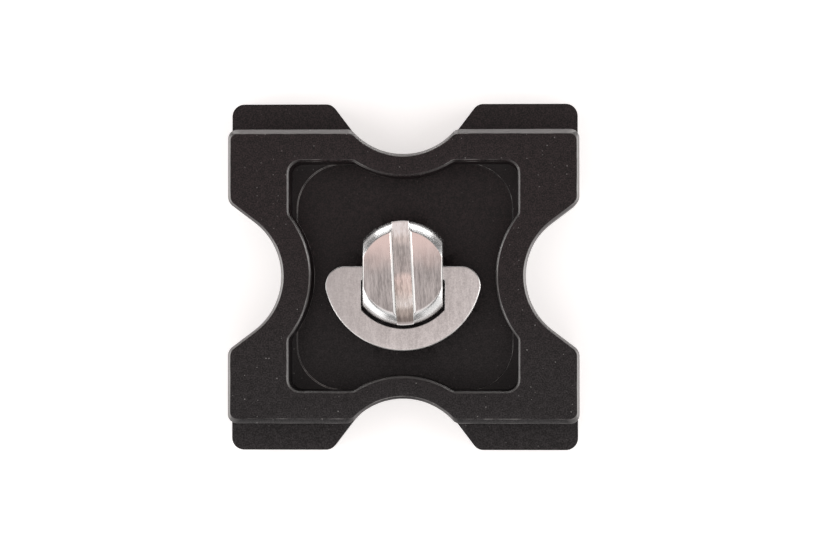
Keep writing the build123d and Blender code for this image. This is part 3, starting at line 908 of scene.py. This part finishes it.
def anodised_metal(colours):
    """Black anodising over blasted metal: speckled and dusty, greyer towards the front, with painted shade on the
    unmilled floor, painted highlights on its bevels and on the floor's step at the left, and rubbed edges.
    """
    material, tree, shader, where = new_material("anodised_aluminium")
    grain = effect(tree, "Fine grain", where, Fineness=5600.0)
    wear_and_glint = effect(tree, "Patchy edges", where, Edge=mesh_mark(tree, "edge"), Patches=420.0, Cover=0.42)["Mask"]
    dust = effect(tree, "Dust specks", where, Spacing=1900.0, Size=0.18, Share=0.34)["Mask"]
    # Towards the front the faces turn greyer and less red, and the dust lies thicker
    front = ramp(tree, split(tree, where)["Y"], 0.006, -0.018)
    bevel = mesh_mark(tree, "bevel")
    unmilled_shade = mesh_mark(tree, "unmilled_shade")
    dark = tint(colours.anodise, 0.05)
    light = blend(tree, front, tint(colours.anodise, 5.2), tint(colours.front_grey))
    speckled = blend(tree, grain["Value"], dark, light)
    # Painted shade on the unmilled corners of the pocket floor
    shaded = blend(tree, maths(tree, "MULTIPLY", unmilled_shade, 0.25), speckled, dark)
    # Bevels take the lighter metal as a painted highlight
    bevel_rub_and_sheen = blend(tree, bevel, shaded, tint(colours.bevel_rub_and_sheen))
    edge_wear_and_glint = blend(tree, maths(tree, "MULTIPLY", wear_and_glint, 0.85, clamp=True), bevel_rub_and_sheen, tint(colours.bare))
    thick = maths(tree, "MULTIPLY_ADD", front, 0.25, 0.4)
    rough = maths(tree, "MULTIPLY_ADD", grain["Value"], 0.12, 0.33)
    fill(tree, shader, {
        "Base Color": blend(tree, maths(tree, "MULTIPLY", dust, thick), edge_wear_and_glint, tint(METAL_DUST)),
        "Metallic": maths(tree, "MULTIPLY", bevel, 0.9),
        "Roughness": maths(tree, "MULTIPLY_ADD", unmilled_shade, 0.08, rough),
        "IOR": 1.365,
        "Normal": bump(tree, grain["Height"], 0.000012),
    })
    return material


def moulded_rubber(colours):
    """Matt rubber with a fine moulded grain and some dust."""
    material, tree, shader, where = new_material("pad_rubber")
    grain = effect(tree, "Fine grain", where, Fineness=3000.0)
    dust = effect(tree, "Dust specks", where, Spacing=500.0, Size=0.12, Share=0.08)["Mask"]
    mottled = blend(tree, grain["Value"], tint(colours.rubber, 0.7), tint(colours.rubber, 1.4))
    fill(tree, shader, {
        "Base Color": blend(tree, maths(tree, "MULTIPLY", dust, 0.4), mottled, tint(RUBBER_DUST)),
        "Roughness": maths(tree, "MULTIPLY_ADD", grain["Value"], 0.15, 0.68),
        "Normal": bump(tree, grain["Height"], 0.00003),
    })
    return material


def natural_nylon(colours):
    """Natural nylon: faintly mottled and a little waxy."""
    material, tree, shader, where = new_material("washer_nylon")
    grain = effect(tree, "Fine grain", where, Fineness=1800.0)
    fill(tree, shader, {
        "Base Color": blend(tree, grain["Value"], tint(colours.nylon, 0.9), tint(colours.nylon)),
        "Roughness": maths(tree, "MULTIPLY_ADD", grain["Value"], 0.1, 0.42),
        "Normal": bump(tree, grain["Height"], 0.000006),
    })
    return material


def brushed_steel(colours, shape):
    """Steel brushed along the slot, and turned on a lathe round the rim and the stud.

    The head has a painted warm reflection towards its upper end, painted shade on its bevels, and painted reflections
    and shade in bands along its slot's floor. Its turned steel is brighter, partly as a painted highlight."""
    material, tree, shader, where = new_material("turned_stainless")
    local = node(tree, "Mapping", {"Vector": where, "Location": (-SCREW_MIDDLE.x, -SCREW_MIDDLE.y, 0)}).outputs[0]
    along_slot = node(tree, "Mapping", {"Vector": local, "Rotation": (0, 0, -shape.slot_turn)}).outputs[0]
    brushed = effect(tree, "Drawn lines", along_slot, Fineness=15000.0, Stretch=0.09)
    x, y, z = split(tree, local)
    squares = maths(tree, "ADD", maths(tree, "POWER", x, 2.0), maths(tree, "POWER", y, 2.0))
    tool_path = node(tree, "CombineXYZ", {"X": maths(tree, "SQRT", squares), "Z": z}).outputs[0]
    lathed = effect(tree, "Drawn lines", tool_path, Fineness=3600.0, Stretch=0.0)
    lathe = mesh_mark(tree, "lathe")
    value = node(tree, "Mix", {"Factor": lathe, "A": brushed["Value"], "B": lathed["Value"]}).outputs["Result"]
    fine_turns = maths(tree, "MULTIPLY", lathed["Height"], 0.1)
    height = node(tree, "Mix", {"Factor": lathe, "A": brushed["Height"], "B": fine_turns}).outputs["Result"]
    lined = blend(tree, value, tint(colours.steel, 0.62), tint(colours.steel, 1.38))
    # Turned steel, brightened partly as a painted highlight
    lathed_metal_and_sheen = blend(tree, value, tint(colours.turned_steel_and_sheen, 0.8), tint(colours.turned_steel_and_sheen))
    mottle = noise(tree, where, 700.0, 2.0)
    drift = maths(tree, "MULTIPLY", maths(tree, "SUBTRACT", mottle, 0.5), 0.0016)
    station = maths(tree, "ADD", split(tree, along_slot)["Y"], drift)
    # Painted warm reflection towards the head's upper end
    warm_reflection_share = maths(tree, "MULTIPLY", ramp(tree, station, -0.0004, 0.0044), 0.97)
    head_with_painted_light = blend(tree, warm_reflection_share, lined, tint(colours.painted_warm_reflection))
    top = SCREW_HIGH.z
    # Painted shade: the head's bevels below its top are darker
    painted_bevel_shade = ramp(tree, z, top - 0.00003, top - 0.00010)
    head_with_painted_light = blend(tree, maths(tree, "MULTIPLY", painted_bevel_shade, 0.85), head_with_painted_light, tint(colours.steel, 0.61))
    ends = {"From Min": -SLOT_HALF_LENGTH, "From Max": SLOT_HALF_LENGTH}
    slot_share = node(tree, "MapRange", {"Value": station, **ends}).outputs["Result"]
    # Painted reflections and shade in bands along the slot's floor
    slot_with_painted_bands = blend(tree, 1.0, lined, colour_ramp(tree, slot_share, SLOT_PAINTED_BANDS), "MULTIPLY")
    in_slot = ramp(tree, z, top - 0.0007, top - 0.0010)
    on_top = blend(tree, in_slot, head_with_painted_light, slot_with_painted_bands)
    edges = maths(tree, "MULTIPLY", mesh_mark(tree, "edge"), 0.5, clamp=True)
    edged = blend(tree, edges, on_top, tint(colours.steel))
    rough = maths(tree, "MULTIPLY_ADD", value, 0.08, 0.24)
    fill(tree, shader, {
        "Base Color": blend(tree, lathe, edged, lathed_metal_and_sheen),
        "Metallic": 1.0,
        "Roughness": maths(tree, "MULTIPLY_ADD", lathe, -0.02, rough),
        "Normal": bump(tree, height, 0.000005),
    })
    return material


def satin_sheet(colours):
    """Stainless sheet with a fine satin grain, painted highlights and painted shade on its edges, and painted shade
    towards its left end.
    """
    material, tree, shader, where = new_material("stamped_stainless")
    grain = effect(tree, "Fine grain", where, Fineness=6500.0)["Value"]
    drawn = effect(tree, "Drawn lines", where, Fineness=5000.0, Stretch=0.2)["Value"]
    edge_wear_and_glint = effect(tree, "Patchy edges", where, Edge=mesh_mark(tree, "edge"), Patches=700.0, Cover=0.85)["Mask"]
    both = maths(tree, "MULTIPLY", maths(tree, "ADD", grain, drawn), 0.5)
    satin = blend(tree, both, tint(colours.sheet, 0.76), tint(colours.sheet, 1.22))
    # Painted shade darkens the ring towards its left end
    left_end_shade = ramp(tree, split(tree, where)["X"], 0.0, -0.0115)
    satin = blend(tree, maths(tree, "MULTIPLY", left_end_shade, 0.45), satin, tint(colours.sheet, 0.66))
    # Painted highlights and painted shade on the ring's edges
    edges = blend(tree, mesh_mark(tree, "edge_glint_and_shade"), tint(colours.sheet, 0.60), tint(colours.sheet, 1.35))
    rough = maths(tree, "MULTIPLY_ADD", both, 0.10, 0.34)
    fill(tree, shader, {
        "Base Color": blend(tree, edge_wear_and_glint, satin, edges),
        "Metallic": 1.0,
        "Roughness": maths(tree, "MULTIPLY_ADD", edge_wear_and_glint, 0.04, rough),
        "Normal": bump(tree, both, 0.000006),
    })
    return material


def bare_tree(owner):
    """The nodes of a material or a world, with none in them yet."""
    owner.use_nodes = True
    owner.node_tree.nodes.clear()
    return owner.node_tree


def white_paper(studio):
    """Pale floor that keeps the shadow, glows for the camera and for reflections, and is clear from below."""
    material = bpy.data.materials.new("floor_paper")
    tree = bare_tree(material)
    path = node(tree, "LightPath").outputs
    seen = maths(tree, "MAXIMUM", path["Is Camera Ray"], path["Is Glossy Ray"])
    seen = maths(tree, "MAXIMUM", seen, path["Is Transmission Ray"])
    paper = node(tree, "BsdfDiffuse", {"Color": tint(studio.floor_colour)}).outputs[0]
    glow = node(tree, "Emission", {"Color": tint(studio.glow), "Strength": seen}).outputs[0]
    lit = node(tree, "AddShader", {0: paper, 1: glow}).outputs[0]
    below = node(tree, "NewGeometry").outputs["Backfacing"]
    clear = node(tree, "BsdfTransparent").outputs[0]
    mixed = node(tree, "MixShader", {0: below, 1: lit, 2: clear}).outputs[0]
    node(tree, "OutputMaterial", {"Surface": mixed})
    return material


def studio_sky(studio):
    """Soft light from all round, brighter overhead, and white where the camera sees it."""
    world = bpy.data.worlds.new("studio_sky")
    tree = bare_tree(world)
    up = split(tree, node(tree, "TexCoord").outputs["Generated"])["Z"]
    sky = blend(tree, ramp(tree, up, 0.50, 0.93), tint(studio.sky_low), tint(studio.sky_high))
    camera = node(tree, "LightPath").outputs["Is Camera Ray"]
    light = node(tree, "Background", {"Color": blend(tree, camera, sky, (1, 1, 1, 1))}).outputs[0]
    node(tree, "OutputWorld", {"Surface": light})
    return world


def soft_panel(name, radiance, width, height, distance, azimuth, elevation):
    """A rectangular light that looks at the plate. Its power is radiance times pi times its area."""
    lamp = bpy.data.lights.new(name, "AREA")
    lamp.shape = "RECTANGLE"
    lamp.size = width
    lamp.size_y = height
    lamp.energy = radiance * math.pi * width * height
    panel = bpy.data.objects.new(name, lamp)
    azimuth, elevation = math.radians(azimuth), math.radians(elevation)
    flat = math.cos(elevation)
    outward = Vector((flat * math.cos(azimuth), flat * math.sin(azimuth), math.sin(elevation)))
    panel.location = distance * outward
    panel.rotation_mode = "QUATERNION"
    panel.rotation_quaternion = outward.to_track_quat("Z", "Y")
    panel.visible_camera = False
    bpy.context.scene.collection.objects.link(panel)


class ReleasePlateOperator:
    """What the operators that make the pieces share"""

    bl_options = {"REGISTER", "UNDO"}


class RELEASE_OT_plate(ReleasePlateOperator, bpy.types.Operator):
    """Mill the dovetail plate with its scallops, pocket and rubbed edges"""

    bl_idname = "release_plate.plate"
    bl_label = "Plate"

    def execute(self, context):
        grid, marks = plate_grid(context.scene.plate_shape)
        shells = [(grid, marks, (True, True))]
        material = anodised_metal(context.scene.plate_finishes)
        place("milled_plate", shells, material, "plate", "plate_body")
        return {"FINISHED"}


class RELEASE_OT_pad(ReleasePlateOperator, bpy.types.Operator):
    """Mould the rubber pad that lies in the camera face"""

    bl_idname = "release_plate.pad"
    bl_label = "Rubber pad"

    def execute(self, context):
        grid, marks = pad_grid(context.scene.plate_shape)
        shells = [(grid, {"edge": marks}, (True, True))]
        material = moulded_rubber(context.scene.plate_finishes)
        place("rubber_pad", shells, material, "plate", "camera_pad")
        return {"FINISHED"}


class RELEASE_OT_washer(ReleasePlateOperator, bpy.types.Operator):
    """Cut the nylon washer under the screw's head"""

    bl_idname = "release_plate.washer"
    bl_label = "Nylon washer"

    def execute(self, context):
        grid, marks = washer_grid(context.scene.screw_shape)
        shells = [(grid, {"edge": marks}, (True, True))]
        material = natural_nylon(context.scene.plate_finishes)
        place("nylon_washer", shells, material, "washer", "screw_washer")
        return {"FINISHED"}


class RELEASE_OT_screw(ReleasePlateOperator, bpy.types.Operator):
    """Turn the camera screw with its slotted head and its threaded stud"""

    bl_idname = "release_plate.screw"
    bl_label = "Camera screw"

    def execute(self, context):
        shape = context.scene.screw_shape
        head, edge, lathe = head_grid(shape)
        stud = stud_grid(shape)
        plain = np.zeros(stud.shape[:2])
        shells = [
            (head, {"edge": edge, "lathe": lathe}, (True, False)),
            (stud, {"edge": plain, "lathe": plain + 1}, (False, True)),
        ]
        material = brushed_steel(context.scene.plate_finishes, shape)
        place("slotted_screw", shells, material, "screw", "camera_screw")
        return {"FINISHED"}


class RELEASE_OT_ring(ReleasePlateOperator, bpy.types.Operator):
    """Stamp the half-moon ring that folds on the screw's head"""

    bl_idname = "release_plate.ring"
    bl_label = "Folding ring"

    def execute(self, context):
        grid, marks = ring_grid(context.scene.screw_shape)
        shells = [(grid, marks, (True, False))]
        material = satin_sheet(context.scene.plate_finishes)
        place("half_moon_ring", shells, material, "ring", "d_ring")
        return {"FINISHED"}


class RELEASE_OT_stage(ReleasePlateOperator, bpy.types.Operator):
    """Set the floor, the light and the camera that looks down on the plate"""

    bl_idname = "release_plate.stage"
    bl_label = "Stage"

    def execute(self, context):
        scene = context.scene
        studio = scene.plate_studio
        paper = bpy.data.meshes.new("floor")
        corners = [(x * FLOOR_HALF, y * FLOOR_HALF, 0) for x, y in ((-1, -1), (1, -1), (1, 1), (-1, 1))]
        paper.from_pydata(corners, [], [(0, 1, 2, 3)])
        paper.materials.append(white_paper(studio))
        floor = bpy.data.objects.new("floor", paper)
        scene.collection.objects.link(floor)
        scene.world = studio_sky(studio)
        for name, (setting, *numbers) in SOFT_LIGHTS.items():
            soft_panel(name, getattr(studio, setting), *numbers)

        lens = bpy.data.cameras.new("camera")
        lens.lens = studio.lens
        lens.sensor_width = SENSOR_WIDTH
        lens.clip_start = 0.01
        camera = bpy.data.objects.new("camera", lens)
        offset = Vector(studio.offset)
        camera.location = Vector(studio.aim) + offset
        back = offset.normalized()
        right = Vector((0, 1, 0)).cross(back).normalized()
        axes = Matrix((right, back.cross(right), back)).transposed()
        camera.rotation_euler = axes.to_euler()
        scene.collection.objects.link(camera)
        scene.camera = camera
        scene.view_settings.view_transform = "Standard"
        return {"FINISHED"}


class RELEASE_PT_panel(bpy.types.Panel):
    """Lists the pieces and their sizes"""

    bl_idname = "RELEASE_PT_panel"
    bl_label = "Release Plate"
    bl_space_type = "VIEW_3D"
    bl_region_type = "UI"
    bl_category = "Release Plate"

    def draw(self, context):
        for operator in OPERATORS:
            self.layout.operator(operator.bl_idname)
        for name, group in SETTINGS.items():
            box = self.layout.box()
            box.label(text=group.__doc__)
            for key in group.__annotations__:
                box.prop(getattr(context.scene, name), key)


SETTINGS = {
    "plate_shape": PlateShape,
    "screw_shape": ScrewShape,
    "plate_finishes": Finishes,
    "plate_studio": Studio,
}
OPERATORS = (
    RELEASE_OT_plate,
    RELEASE_OT_pad,
    RELEASE_OT_washer,
    RELEASE_OT_screw,
    RELEASE_OT_ring,
    RELEASE_OT_stage,
)


def register():
    """Adds the settings, the operators and the panel."""
    for name, group in SETTINGS.items():
        bpy.utils.register_class(group)
        setattr(bpy.types.Scene, name, PointerProperty(type=group))
    for operator in OPERATORS:
        bpy.utils.register_class(operator)
    bpy.utils.register_class(RELEASE_PT_panel)


def unregister():
    """Takes the panel, the operators and the settings away again."""
    bpy.utils.unregister_class(RELEASE_PT_panel)
    for operator in reversed(OPERATORS):
        bpy.utils.unregister_class(operator)
    for name, group in reversed(SETTINGS.items()):
        delattr(bpy.types.Scene, name)
        bpy.utils.unregister_class(group)


def main():
    """Makes the pieces and the stage in order."""
    register()
    bpy.ops.release_plate.plate()
    bpy.ops.release_plate.pad()
    bpy.ops.release_plate.washer()
    bpy.ops.release_plate.screw()
    bpy.ops.release_plate.ring()
    bpy.ops.release_plate.stage()


if __name__ == "__main__":
    main()
